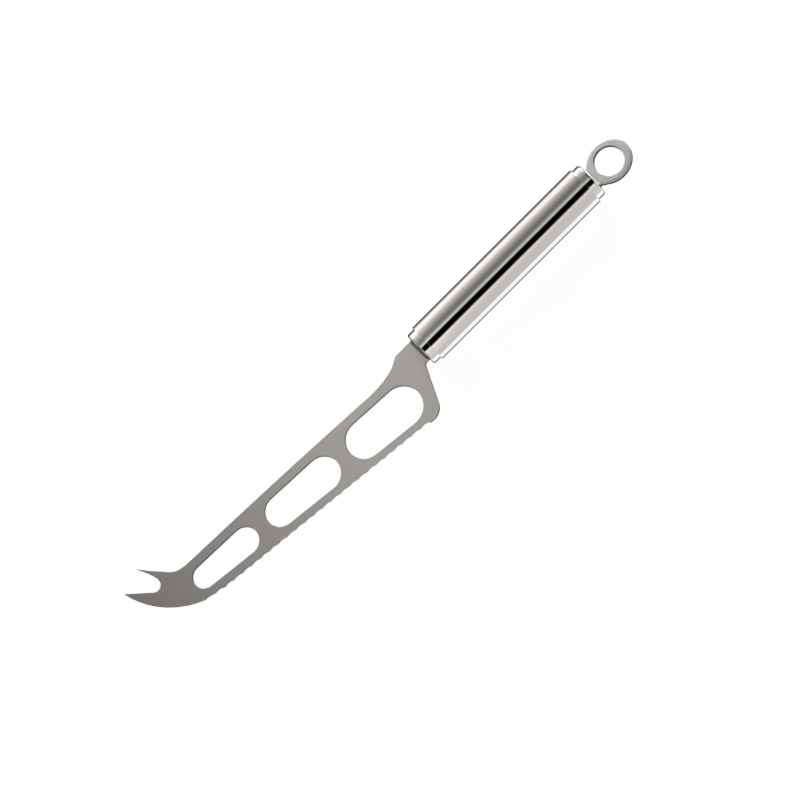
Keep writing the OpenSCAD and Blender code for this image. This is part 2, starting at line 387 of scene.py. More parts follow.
def flat_blank(name: str, loops: list[list[Stretch]], low: float, rise: Vector, steps: int) -> Piece:
    """Cuts a blank from sheet: flat outlines, the first outside and the others holes, extruded.

    Args:
        name: Name of the piece.
        loops: Closed outlines in the XY plane.
        low: Height of the blank's first side.
        rise: Travel from the first side to the second.
        steps: Points on each curved stretch.

    Returns:
        The blank.
    """
    bpy.ops.object.select_all(action="DESELECT")
    bpy.ops.curve.primitive_bezier_circle_add()
    blank = bpy.context.object
    blank.name = name
    blank.data.dimensions = "2D"
    blank.data.fill_mode = "BOTH"
    blank.data.splines.clear()
    for loop in loops:
        spline = blank.data.splines.new("BEZIER")
        spline.bezier_points.add(len(loop) - 1)
        spline.resolution_u = steps
        spline.use_cyclic_u = True
        for point, stretch, before in zip(spline.bezier_points, loop, [loop[-1], *loop[:-1]]):
            point.co = stretch.start.to_3d()
            point.handle_right_type = "VECTOR" if stretch.straight else "FREE"
            point.handle_left_type = "VECTOR" if before.straight else "FREE"
            point.handle_right = stretch.leave.to_3d()
            point.handle_left = before.arrive.to_3d()
    bpy.ops.object.convert(target="MESH")
    blank = bpy.context.object
    blank.location.z = low
    place_in_mesh(blank)
    edit_mode(blank, "FACE", "SELECT")
    extrude(rise)
    object_mode()
    close_up(blank)
    merge_level(blank)
    return blank


def rim_moves(mesh: bmesh.types.BMesh, up: Vector) -> list[tuple[bmesh.types.BMVert, Vector]]:
    """Finds how the rim of the selected level faces moves in, less and less towards a sharp point.

    Args:
        mesh: The sheet's mesh.
        up: The way that the selected faces face.

    Returns:
        Each vertex of the rim with the move that takes both its edges in by one metre.
    """
    rim = []
    for vert in mesh.verts:
        chosen = [loop for edge in vert.link_edges for loop in edge.link_loops if loop.face.select]
        single = [loop for loop in chosen if sum(face.select for face in loop.edge.link_faces) == 1]
        ways = [up.cross(loop.link_loop_next.vert.co - loop.vert.co).normalized() for loop in single]
        if len(ways) == 2:
            rim.append((vert, *ways))
    points = [vert.co.copy() for vert, way, other in rim if way.dot(other) < SHARP_TURN]
    moves = []
    for vert, way, other in rim:
        share = min([1.0, *((vert.co - point).length / POINT_REACH for point in points)])
        moves.append((vert, (way + other) * share / max(1 + way.dot(other), MITRE_LIMIT)))
    return moves


def pick_top(piece: Piece, up: Vector) -> None:
    """Opens a sheet in edit mode with its highest faces selected.

    Args:
        piece: The sheet.
        up: The way that they face.
    """
    level = max(vert.co.dot(up) for vert in piece.data.vertices) - SAME
    pick_faces(piece, lambda face: all(vert.co.dot(up) > level for vert in face.verts))


def round_rims(
    piece: Piece, depths: tuple[float, float], width: Callable[[Vector], Vector], segments: int,
) -> None:
    """Raises both flat sides of a sheet, each with a rim that is a quarter of an oval.

    Args:
        piece: The blank, thinner than the sheet by both depths.
        depths: Heights of the rounding on the plain side and on the other.
        width: Gives its width along X and along Y at a place of the rim.
        segments: Faces across it.
    """
    for up, depth in zip((Vector((0, 0, 1)), Vector((0, 0, -1))), depths):
        for step in range(segments):
            low, high = (QUARTER * (step + ahead) / segments for ahead in (0, 1))
            pick_top(piece, up)
            extrude(up * depth * (math.sin(high) - math.sin(low)))
            mesh = bmesh.from_edit_mesh(piece.data)
            for vert, move in rim_moves(mesh, up):
                vert.co += move * width(vert.co) * (math.cos(low) - math.cos(high))
            bmesh.update_edit_mesh(piece.data)
            object_mode()
        pick_top(piece, up)
        bpy.ops.mesh.delete(type="FACE")
        pick_open_edges(piece)
        bpy.ops.mesh.fill(use_beauty=False)
        object_mode()
    close_up(piece)


def paint_wall_shade(piece: Piece, material: Material, nearest: float = 0.0, farthest: float = math.inf) -> None:
    """Paints shade on a sheet's steep walls: a darker finish of their own, for the shade that they mirror.

    Args:
        piece: The finished piece.
        material: The walls' material, a painted shade.
        nearest: Least distance of a wall from the hanging hole's axis.
        farthest: Greatest distance of a wall from it.
    """
    piece.data.materials.append(material)
    pick_faces(piece, lambda face: (
        abs(face.normal.z) < WALL_RISE and nearest <= face.calc_center_median().xy.length < farthest
    ))
    piece.active_material_index = len(piece.data.materials) - 1
    bpy.ops.object.material_slot_assign()
    object_mode()


def rounded_end(x: float, inward: int, r: float, edge_r: float, steps: int) -> list[tuple[float, float]]:
    """Gives the stations of a turned piece's rounded end, from its face onto its side.

    Args:
        x: Place of the face.
        inward: 1 or -1, the way along X into the piece.
        r: Radius of the side.
        edge_r: Radius of the rounding.
        steps: Faces across it.

    Returns:
        Place along X and radius of each station.
    """
    turns = [QUARTER * k / steps for k in range(steps + 1)]
    return [(x + inward * edge_r * (1 - math.cos(w)), r - edge_r * (1 - math.sin(w))) for w in turns]


def raise_outline(sections: list[tuple[float, float, float]]) -> None:
    """Extrudes the selected outline along X and resizes it from section to section.

    Args:
        sections: Place along X, size along Y and size along Z, the first of them the outline's.
    """
    for (x, y, z), (next_x, next_y, next_z) in zip(sections, sections[1:]):
        extrude(Vector((next_x - x, 0, 0)))
        bpy.ops.transform.resize(value=(1, next_y / y, next_z / z), center_override=(next_x, 0, 0))


def turned(name: str, stations: list[tuple[float, float]], sides: int, hollow: bool) -> Piece:
    """Turns a piece about the X axis: a circle, raised from station to station.

    Args:
        name: Name of the piece.
        stations: Place along X and radius, in order along the profile.
        sides: Number of sides of the circle.
        hollow: True where the last station leads back to the first, False for closed ends.

    Returns:
        The turned piece.
    """
    x, r = stations[0]
    piece = add_mesh(
        name, bpy.ops.mesh.primitive_circle_add, vertices=sides, radius=r, fill_type="NOTHING",
        location=(x, 0, 0), rotation=(0, QUARTER, 0),
    )
    edit_mode(piece, "EDGE", "SELECT")
    if not hollow:
        bpy.ops.mesh.edge_face_add()
    raise_outline([(place, radius, radius) for place, radius in stations])
    if hollow:
        pick_open_edges(piece)
        bpy.ops.mesh.bridge_edge_loops()
    object_mode()
    close_up(piece)
    return piece


# Finishes


def linear(colour: str) -> tuple[float, float, float, float]:
    """Turns a hex colour in sRGB into Blender's linear values.

    Args:
        colour: Six hex digits after a hash sign.

    Returns:
        Red, green, blue and an alpha of 1.
    """
    values = [int(colour[k:k + 2], 16) / 255 for k in (1, 3, 5)]
    red, green, blue = (v / 12.92 if v <= 0.04045 else ((v + 0.055) / 1.055) ** 2.4 for v in values)
    return red, green, blue, 1.0


def dimmed(colour: tuple[float, ...], share: float) -> tuple[float, ...]:
    """Returns a linear colour with its red, green and blue at a share of what they were."""
    return (*(channel * share for channel in colour[:3]), 1.0)


def empty_tree(holder: Material | bpy.types.World) -> Tree:
    """Empties the node tree of a material or world.

    Args:
        holder: The material or world.

    Returns:
        Its tree.
    """
    holder.use_nodes = True
    holder.node_tree.nodes.clear()
    return holder.node_tree


def add_node(tree: Tree, kind: str, inputs: dict | None = None, **settings) -> bpy.types.Node:
    """Adds a node with its settings, values and links.

    Args:
        tree: The node tree.
        kind: The node's type, without the words ShaderNode.
        inputs: For each input's name or number, a value, or a socket to link it to.
        settings: Values of the node's properties.

    Returns:
        The node.
    """
    node = tree.nodes.new("ShaderNode" + kind)
    for name, value in settings.items():
        setattr(node, name, value)
    for name, value in (inputs or {}).items():
        if isinstance(value, Socket):
            tree.links.new(value, node.inputs[name])
        else:
            node.inputs[name].default_value = value
    return node


def set_stops(ramp: bpy.types.Node, stops: list[tuple[float, tuple[float, ...]]]) -> None:
    """Gives a colour ramp its stops.

    Args:
        ramp: The colour ramp node.
        stops: Positions from 0 to 1 with their colours.
    """
    elements = ramp.color_ramp.elements
    while len(elements) > 1:
        elements.remove(elements[-1])
    elements[0].position, elements[0].color = stops[0]
    for position, colour in stops[1:]:
        elements.new(position).color = colour


@dataclass(frozen=True)
class SteelFinish:
    """A bare steel surface and how it was worked.

    The roughness strays from its mean by up to uneven. Grinding lines are line_pitch apart,
    line_depth deep and line_run times their pitch long, and anisotropy draws a highlight out
    across them. In patches worn by handling the metal keeps worn_share of its brightness. Seen
    along the surface, it mirrors in edge_colour.
    """

    name: str
    colour: str
    roughness: float
    uneven: float
    grain: Grain
    line_pitch: float
    line_depth: float
    patch: float
    anisotropy: float = 0.0
    edge_colour: str = "#FFFFFF"
    worn_share: float = 0.93
    line_run: float = 60

    def build(self) -> Material:
        """Makes the material.

        Returns:
            A metal whose roughness and fine relief follow the grinding lines.
        """
        material = bpy.data.materials.new(self.name)
        tree = empty_tree(material)
        place = add_node(tree, "TexCoord").outputs["Object"]
        lines = self._lines(tree, place)
        patches = add_node(
            tree, "TexNoise", {"Vector": place, "Scale": 1 / self.patch, "Detail": 3.0, "Roughness": 0.55},
        ).outputs["Fac"]
        mixed = add_node(tree, "Math", {0: lines, 1: patches}, operation="ADD").outputs[0]
        roughness = add_node(tree, "MapRange", {
            "Value": mixed, "From Min": NOISE_SUM[0], "From Max": NOISE_SUM[1],
            "To Min": self.roughness - self.uneven, "To Max": self.roughness + self.uneven,
        }).outputs["Result"]
        clean = linear(self.colour)
        # Inputs 0, 6 and 7 of a colour mix are its share and its two colours, and output 2 is the result
        tint = add_node(
            tree, "Mix", {0: patches, 6: clean, 7: dimmed(clean, self.worn_share)}, data_type="RGBA",
        ).outputs[2]
        relief = add_node(tree, "Bump", {"Height": lines, "Distance": self.line_depth, "Strength": 1.0})
        shader = add_node(tree, "BsdfPrincipled", {
            "Base Color": tint, "Metallic": 1.0, "Roughness": roughness, "Normal": relief.outputs["Normal"],
            "Specular Tint": linear(self.edge_colour),
        })
        if self.anisotropy:
            shader.inputs["Anisotropic"].default_value = self.anisotropy
            shader.inputs["Anisotropic Rotation"].default_value = 0.25 if self.grain is Grain.ROUND else 0.0
            tangent = add_node(tree, "Tangent", direction_type="RADIAL", axis="X")
            tree.links.new(tangent.outputs["Tangent"], shader.inputs["Tangent"])
        add_node(tree, "OutputMaterial", {"Surface": shader.outputs["BSDF"]})
        return material

    def _lines(self, tree: Tree, place: Socket) -> Socket:
        """Draws the grinding lines as stretched noise.

        Args:
            tree: The material's node tree.
            place: Socket with the place on the piece.

        Returns:
            Socket with the lines' height from 0 to 1.
        """
        fine = 1 / self.line_pitch
        coarse = fine / self.line_run
        stretch = {
            Grain.ALONG: (coarse, fine, fine),
            Grain.ROUND: (fine, coarse, coarse),
            Grain.EVEN: (fine, fine, fine),
        }[self.grain]
        scaled = add_node(tree, "Mapping", {"Vector": place, "Scale": stretch}).outputs["Vector"]
        return add_node(
            tree, "TexNoise", {"Vector": scaled, "Scale": 1.0, "Detail": 2.0, "Roughness": 0.6},
        ).outputs["Fac"]


@dataclass(frozen=True)
class CementFinish:
    """Cured cement: matt, dark and slightly grainy.

    Grit is the size of its grains, and the darkest keep dark_share of the colour's brightness.
    """

    name: str = "cured cement"
    colour: str = "#3A3A3C"
    roughness: float = 0.8
    grit: float = 0.3 * MM
    grit_depth: float = 0.05 * MM
    dark_share: float = 0.8

    def build(self) -> Material:
        """Makes the material.

        Returns:
            A matt surface with grains in its colour and relief.
        """
        material = bpy.data.materials.new(self.name)
        tree = empty_tree(material)
        place = add_node(tree, "TexCoord").outputs["Object"]
        grains = add_node(
            tree, "TexNoise", {"Vector": place, "Scale": 1 / self.grit, "Detail": 4.0},
        ).outputs["Fac"]
        ramp = add_node(tree, "ValToRGB", {"Fac": grains})
        base = linear(self.colour)
        set_stops(ramp, [(0.3, dimmed(base, self.dark_share)), (0.7, base)])
        relief = add_node(tree, "Bump", {"Height": grains, "Distance": self.grit_depth})
        shader = add_node(tree, "BsdfPrincipled", {
            "Base Color": ramp.outputs["Color"], "Roughness": self.roughness,
            "Normal": relief.outputs["Normal"],
        })
        add_node(tree, "OutputMaterial", {"Surface": shader.outputs["BSDF"]})
        return material


# The values are, in order: name, colour, roughness, uneven, grain, line_pitch, line_depth, patch

# Stainless sheet, ground along its length and then brushed: a broad, soft sheen
BLADE_FINISH = SteelFinish(
    "ground blade steel", "#EFECE9", 0.57, 0.03, Grain.ALONG, 0.25 * MM, 0.0006 * MM, 30 * MM, anisotropy=0.8,
)
# Drawn stainless tube, polished over fine rings of grinding: sharp bands that smear along it
TUBE_FINISH = SteelFinish(
    "polished tube steel", "#EAE8E5", 0.1, 0.015, Grain.ROUND, 0.2 * MM, 0.0003 * MM, 15 * MM,
    anisotropy=0.6,
)
# Turned stainless bar, buffed to a mirror: crisp bands and bright rounded edges
CAP_FINISH = SteelFinish(
    "buffed cap steel", "#F3F1EE", 0.07, 0.015, Grain.ROUND, 0.2 * MM, 0.0001 * MM, 8 * MM,
)
# Stainless sheet, tumbled: even satin, with no direction
RING_FINISH = SteelFinish(
    "tumbled ring steel", "#FAFBFB", 0.65, 0.03, Grain.EVEN, 0.4 * MM, 0.0008 * MM, 6 * MM,
)
# The sheet's cut edges with painted shade: a rougher line, painted darker than the faces and dimmed where
# seen along it, for the shade that they mirror
WALL_SHADE_FINISH = SteelFinish(
    "cut edge with painted shade", "#A29E99", 0.5, 0.06, Grain.EVEN, 0.3 * MM, 0.004 * MM, 2 * MM, edge_colour="#8A8A8A",
)
# The ring's outer edges, painted nearly black as shade: the dark that its outer rim mirrors, with little
# shine even seen along them
RING_WALL_SHADE_FINISH = SteelFinish(
    "ring edge with painted shade", "#242120", 0.4, 0.06, Grain.EVEN, 0.3 * MM, 0.004 * MM, 2 * MM,
    edge_colour="#3A3A3A",
)
# Weld metal, wire-brushed: a bright, slightly broken highlight
WELD_FINISH = SteelFinish(
    "brushed weld metal", "#FFFFFF", 0.25, 0.06, Grain.EVEN, 0.5 * MM, 0.004 * MM, 2 * MM,
)
# Weld metal painted dark grey as shade, for the dark crevice between the blade's neck and the cap, with a
# soft highlight
SHADED_WELD_FINISH = SteelFinish(
    "weld metal with painted shade", "#8E8A86", 0.4, 0.08, Grain.EVEN, 0.5 * MM, 0.006 * MM, 2 * MM,
)
# Turned pin stock, hidden inside the handle: plain grey steel
PIN_FINISH = SteelFinish(
    "turned pin steel", "#C9C7C4", 0.3, 0.04, Grain.EVEN, 0.3 * MM, 0.0005 * MM, 3 * MM,
)


def hand_over(piece: Piece, slot: Slot, material: Material, *nodes: str) -> None:
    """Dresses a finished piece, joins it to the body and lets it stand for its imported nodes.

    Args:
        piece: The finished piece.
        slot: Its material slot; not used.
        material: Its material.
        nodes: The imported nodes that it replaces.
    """
    piece.data.materials.clear()
    piece.data.materials.append(material)
    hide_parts(*nodes)
    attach(piece, ROOT_BODY)
    log.info("%s: %d faces, stands for %s", piece.name, len(piece.data.polygons), ", ".join(nodes))


# The knife


@dataclass
class Blade:
    """The blade: one blank with a neck, three windows, a serrated edge, two tines and a tang.

    Places are measured from the front cap's face towards the fork, and heights from the
    handle's axis towards the blade's back.
    """

    face_x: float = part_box("front_cap")[0].x
    length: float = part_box("front_cap")[0].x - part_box("blade")[0].x
    thickness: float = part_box("blade")[1].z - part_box("blade")[0].z
    tang_end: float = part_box("blade")[1].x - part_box("front_cap")[0].x
    neck_w: float = 12 * MM
    neck_l: float = 8.5 * MM
    dip: Vector = field(default_factory=lambda: Vector((29.4 * MM, 1.2 * MM)))
    back_bulge: float = 0.4 * MM
    fork_l: float = 31.3 * MM
    fork_root_y: float = 6 * MM
    tine_lag: float = 11.6 * MM
    short_tine_y: float = 21 * MM
    long_tine_y: float = 16.8 * MM
    notch_y: float = 6.7 * MM
    belly_l: float = 36.8 * MM
    heel: Vector = field(default_factory=lambda: Vector((12.8 * MM, -27.85 * MM)))
    heel_r: float = 7 * MM
    choil_x: float = 2.8 * MM
    choil_r: float = 2.2 * MM
    edge_slope: float = math.tan(math.radians(6.3))
    teeth_start: float = 19.6 * MM
    teeth_end_gap: float = 24.2 * MM
    scallops: int = 25
    scallop_depth: float = 0.62 * MM
    scallop_steps: int = 10
    run_out: float = 1.2 * MM
    # Reach of the grinding cut outside the edge
    cut_reach: float = 8 * MM
    bevel_angle: float = math.radians(30)
    window_start: float = 13.8 * MM
    window_lengths: tuple[float, float] = (39.8 * MM, 39.7 * MM)
    window_end_gap: float = 25.4 * MM
    bridge_w: float = 6.8 * MM
    back_web: float = 4.2 * MM
    heel_web: float = 4.1 * MM
    tip_web: float = 5 * MM
    tang_w: float = 9 * MM
    pin_place: float = 12.5 * MM
    rim_r: float = 0.18 * MM
    rim_steps: int = 3
    shoulder_shares: Pairs = ((0.08, 0), (0.12, 0.116), (0.167, 0.265), (0.31, 0.72), (0.6, 1), (1, 1))
    tine_shares: Pairs = (
        (0.226, 0.011), (0.421, 0.052), (0.519, 0.216), (0.618, 0.381), (0.93, 0.855), (1, 1),
    )
    notch_shares: Pairs = (
        (-0.138, 0.742), (-0.31, 0.484), (-0.31, 0.247), (-0.31, 0.087), (-0.172, 0),
        (-0.017, 0.007), (0.069, 0.014), (0.121, 0.045), (0.172, 0.087),
    )
    belly_shares: tuple[float, float, float] = (0.44, 0.872, 0.392)
    # Halvings in the search for a place on the belly
    halvings: int = 30

    @property
    def root(self) -> Vector:
        """Returns the foot of the short tine's back."""
        return Vector((self.length - self.fork_l, self.fork_root_y))

    @property
    def belly_x(self) -> float:
        """Returns where the belly starts to rise."""
        return self.length - self.belly_l

    def back_y(self, x: float) -> float:
        """Returns the height of the back at x, between its lowest point and the fork."""
        share = (x - self.dip.x) / (self.root.x - self.dip.x)
        return between(self.dip.y, self.root.y, share) + 4 * self.back_bulge * share * (1 - share)

    def edge_y(self, x: float) -> float:
        """Returns the height of the straight edge at x, before the scallops."""
        return self.heel.y + self.edge_slope * (x - self.heel.x)

    def belly(self) -> Stretch:
        """Returns the belly, from the straight edge to the long tine's point."""
        start = Vector((self.belly_x, self.edge_y(self.belly_x)))
        end = Vector((self.length, self.long_tine_y))
        leave_share, arrive_share, arrive_height = self.belly_shares
        leave_x = between(start.x, end.x, leave_share)
        arrive = Vector((between(start.x, end.x, arrive_share), between(start.y, end.y, arrive_height)))
        return Stretch(start, Vector((leave_x, self.edge_y(leave_x))), arrive, end)

    def edge_point(self, x: float) -> Vector:
        """Finds a point of the cutting edge.

        Args:
            x: Distance from the front cap's face.

        Returns:
            The point on the straight edge or, past it, on the belly.
        """
        if x <= self.belly_x:
            return Vector((x, self.edge_y(x)))
        curve = self.belly()
        low, high = 0.0, 1.0
        for _ in range(self.halvings):
            u = (low + high) / 2
            low, high = (u, high) if curve.at(u).x < x else (low, u)
        return curve.at(u)

    def outline(self) -> list[Stretch]:
        """Returns the blank's outer outline, starting at the top of the neck."""
        short = Vector((self.length - self.tine_lag, self.short_tine_y))
        half_neck = self.neck_w / 2
        choil = Vector((self.choil_x, -half_neck))
        belly = self.belly()
        bulge = (self.root - self.dip) / 3
        rise = Vector((0, HANDLE_PULL * self.back_bulge))
        notch_box = Vector((short.x + self.tine_lag, self.notch_y))
        half_tang = self.tang_w / 2
        return joined([
            line((0, half_neck), (self.neck_l, half_neck)),
            *share_chain(Vector((self.neck_l, half_neck)), self.dip, self.shoulder_shares),
            Stretch(self.dip, self.dip + bulge + rise, self.root - bulge + rise, self.root),
            *share_chain(self.root, short, self.tine_shares),
            *share_chain(short, notch_box, tuple((sx, 1 - sy) for sx, sy in self.notch_shares)),
            Stretch(belly.end, belly.arrive, belly.leave, belly.start),
            rounded(belly.start, self.heel, choil, self.heel_r),
            rounded(self.heel, choil, Vector((0, -half_neck)), self.choil_r),
            line((0, -half_neck), (0, -half_tang)),
            line((-self.tang_end, -half_tang), (-self.tang_end, half_tang)),
            line((0, half_tang), (0, half_neck)),
        ])

    def window_top(self, x: float) -> float:
        """Returns the height of the windows' upper line at x."""
        return self.back_y(x) - self.back_web

    def window_low(self, x: float) -> float:
        """Returns the height of the windows' lower line at x."""
        share = (x - self.window_start) / (self.root.x - self.window_start)
        return self.edge_y(x) + between(self.heel_web, self.tip_web, share)

    def window_r(self, x: float) -> float:
        """Returns half the clear height of a window at x."""
        return (self.window_top(x) - self.window_low(x)) / 2

    def window_end(self, x: float, side: int) -> tuple[Vector, float]:
        """Returns the middle and radius of the round end of a window whose tip is at x.

        Args:
            x: Place of the tip.
            side: 1 where the window lies towards the fork from it, -1 the other way.

        Returns:
            The middle of the round end and its radius.
        """
        r = self.window_r(x + side * self.window_r(x))
        middle_x = x + side * self.window_r(x + side * r)
        middle = Vector((middle_x, (self.window_top(middle_x) + self.window_low(middle_x)) / 2))
        return middle, self.window_r(x + side * r)

    def windows(self) -> list[list[Stretch]]:
        """Returns the outlines of the three windows, slots round two circles of different size."""
        total = self.length - self.window_end_gap - self.window_start
        lengths = [*self.window_lengths, total - sum(self.window_lengths) - 2 * self.bridge_w]
        loops = []
        start = self.window_start
        for length in lengths:
            (a, a_r), (b, b_r) = self.window_end(start, 1), self.window_end(start + length, -1)
            run = b - a
            along = math.atan2(run.y, run.x)
            lean = math.acos((a_r - b_r) / run.length)
            loops.append(joined([
                *oval(a, Vector((a_r, a_r)), along + lean, along + 2 * math.pi - lean, parts=3),
                *oval(b, Vector((b_r, b_r)), along - lean, along + lean, parts=3),
            ]))
            start += length + self.bridge_w
        return loops

    def serration(self) -> list[Stretch]:
        """Returns the outline of the grinding cut on the plain face: an arc for each scallop."""
        end = self.length - self.teeth_end_gap
        places = [between(self.teeth_start, end, k / self.scallops) for k in range(self.scallops + 1)]
        teeth = [self.edge_point(x) for x in places]
        teeth[-1].y -= self.run_out
        arcs = []
        for a, b in zip(teeth[:-1], teeth[1:]):
            inward = Vector((a.y - b.y, b.x - a.x)).normalized() * self.scallop_depth * HANDLE_PULL
            arcs.append(Stretch(a, a.lerp(b, 1 / 3) + inward, a.lerp(b, 2 / 3) + inward, b))
        away = Vector((0, -self.cut_reach))
        return joined([*arcs, line(teeth[-1] + away, teeth[0] + away)])

    def build(self) -> Piece:
        """Cuts the blank, rounds its rims, grinds the scallops and turns it to the handle.

        Returns:
            The finished blade.
        """
        pin = Vector((-self.pin_place, 0))
        pin_hole = oval(pin, Vector((PIN_HOLE_R, PIN_HOLE_R)), 0, 2 * math.pi, parts=4)
        loops = [self.outline(), *self.windows(), pin_hole]
        half = self.thickness / 2
        level = half - self.rim_r
        blade = flat_blank("blade_ground", loops, -level, Vector((0, 0, 2 * level)), OUTLINE_STEPS)
        rim = Vector((self.rim_r, self.rim_r, 0))
        round_rims(blade, (self.rim_r, self.rim_r), lambda place: rim, self.rim_steps)
        back = Vector((-self.edge_slope, 1)).normalized() / math.tan(self.bevel_angle)
        depth = self.thickness + 2 * OVERRUN
        sweep = Vector((back.x * depth, back.y * depth, -depth))
        comb = flat_blank("serration_cutter", [self.serration()], 0, sweep, self.scallop_steps)
        comb.location = (-back.x * OVERRUN, -back.y * OVERRUN, half + OVERRUN)
        place_in_mesh(comb)
        cut(blade, comb)
        blade.matrix_world = Matrix.Translation((self.face_x, 0, 0)) @ Matrix.Diagonal((-1, 1, 1, 1))
        place_in_mesh(blade)
        close_up(blade)
        finish_sheet(blade)
        return blade


@dataclass
class Handle:
    """The handle: a tube with a turned cap at each end."""

    front_x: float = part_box("front_cap")[0].x
    front_end_x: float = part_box("front_cap")[1].x
    tube_front_x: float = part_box("handle_tube")[0].x
    tube_rear_x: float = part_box("handle_tube")[1].x
    rear_end_x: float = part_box("rear_cap")[0].x
    rear_x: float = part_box("rear_cap")[1].x
    tube_r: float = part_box("handle_tube")[1].y
    cap_r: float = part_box("front_cap")[1].y
    wall: float = 0.9 * MM
    tube_edge: float = 0.12 * MM
    cap_edge_r: float = 0.9 * MM
    groove_inset: float = 1.5 * MM
    groove_w: float = 2.4 * MM
    groove_depth: float = 0.8 * MM
    chamfer: float = 0.3 * MM
    slot_w: float = 9.1 * MM
    front_pin: float = 12.5 * MM
    rear_pin: float = 11 * MM
    front_flat: float = 1.8 * MM
    rear_flat: float = 2.3 * MM
    slot_fit: float = 0.05 * MM
    sides: int = 192
    hole_sides: int = 64
    edge_steps: int = 8

    def tube(self) -> Piece:
        """Turns the tube with rounded outer edges.

        Returns:
            The finished tube.
        """
        front, r = self.tube_front_x, self.tube_r
        stations = [(front, r - self.wall), *rounded_end(front, 1, r, self.tube_edge, self.edge_steps)]
        mirrored = [(front + self.tube_rear_x - x, radius) for x, radius in reversed(stations)]
        tube = turned("tube_polished", stations + mirrored, self.sides, hollow=True)
        finish_turned(tube)
        return tube

    def cap(self, name: str, face_x: float, end_x: float, collar: float, flat: float, pin: float) -> Piece:
        """Turns a cap with a rounded collar and a cement groove, and cuts its slot and pin hole.

        Args:
            name: Name of the piece.
            face_x: Place of its face.
            end_x: Place of its inner end.
            collar: Length that stands out of the tube.
            flat: Thickness of the flat shank that it holds.
            pin: Distance from its face to its cross pin.

        Returns:
            The finished cap.
        """
        inward = 1 if end_x > face_x else -1
        groove = face_x + inward * (collar + self.groove_inset)
        groove_end = groove + inward * self.groove_w
        floor_r = self.cap_r - self.groove_depth
        stations = [
            *rounded_end(face_x, inward, self.cap_r, self.cap_edge_r, self.edge_steps),
            (groove, self.cap_r), (groove, floor_r), (groove_end, floor_r), (groove_end, self.cap_r),
            (end_x - inward * self.chamfer, self.cap_r), (end_x, self.cap_r - self.chamfer),
        ]
        cap = turned(name, stations, self.sides, hollow=False)
        slot = add_mesh(
            "slot_cutter", bpy.ops.mesh.primitive_cube_add, size=1, location=((face_x + end_x) / 2, 0, 0),
            scale=(abs(end_x - face_x) + 2 * OVERRUN, self.slot_w, flat + 2 * self.slot_fit),
        )
        hole = add_mesh(
            "pin_hole_cutter", bpy.ops.mesh.primitive_cylinder_add, vertices=self.hole_sides,
            radius=PIN_HOLE_R, depth=2 * (self.cap_r + OVERRUN), location=(face_x + inward * pin, 0, 0),
        )
        cut(cap, slot, hole)
        finish_turned(cap)
        return cap


@dataclass
class WeldBead:
    """A fillet of weld all round a flat neck on a cap's face."""

    name: str
    face_x: float
    outward: int
    neck: Vector
    leg: float
    side_leg: float
    rings: int = 6
    # Radius and faces of the foot's corners, the radius as a share of its thickness
    corner_share: float = 0.46
    corner_steps: int = 12
    side_cuts: int = 2
    # How straight the bead's side is: 0 for a quarter circle, 1 for a flat
    flatness: float = 0.6

    def sections(self) -> list[tuple[float, float, float]]:
        """Returns the place, width and height of the foot and of each ring up to the neck."""
        found = []
        for k in range(self.rings + 1):
            share = k / self.rings
            x = self.face_x + self.outward * self.leg * share
            wider = 2 * between(1 - math.sin(QUARTER * share), 1 - share, self.flatness)
            found.append((x, self.neck.x + self.side_leg * wider, self.neck.y + self.leg * wider))
        return found

    def build(self) -> Piece:
        """Draws the bead's foot, raises it to the neck and opens it for the neck.

        Returns:
            The finished bead.
        """
        sections = self.sections()
        x, width, height = sections[0]
        bead = add_mesh(
            self.name, bpy.ops.mesh.primitive_plane_add, size=1, location=(x, 0, 0),
            rotation=(0, QUARTER, 0), scale=(height, width, 1),
        )
        edit_mode(bead, action="SELECT")
        bpy.ops.mesh.bevel(
            offset=self.corner_share * height, segments=self.corner_steps, profile=0.5, affect="VERTICES",
            clamp_overlap=False,
        )
        bpy.ops.mesh.select_all(action="SELECT")
        bpy.ops.mesh.delete(type="ONLY_FACE")
        bpy.ops.mesh.select_all(action="SELECT")
        bpy.ops.mesh.subdivide(number_cuts=self.side_cuts)
        bpy.ops.mesh.select_all(action="SELECT")
        raise_outline(sections)
        bpy.ops.mesh.edge_face_add()
        pick_open_edges(bead)
        bpy.ops.mesh.edge_face_add()
        object_mode()
        close_up(bead)
        neck = add_mesh(
            "neck_cutter", bpy.ops.mesh.primitive_cube_add, size=1,
            location=(self.face_x + self.outward * self.leg / 2, 0, 0),
            scale=(self.leg + 2 * OVERRUN, self.neck.x, self.neck.y),
        )
        cut(bead, neck)
        finish_turned(bead)
        return bead


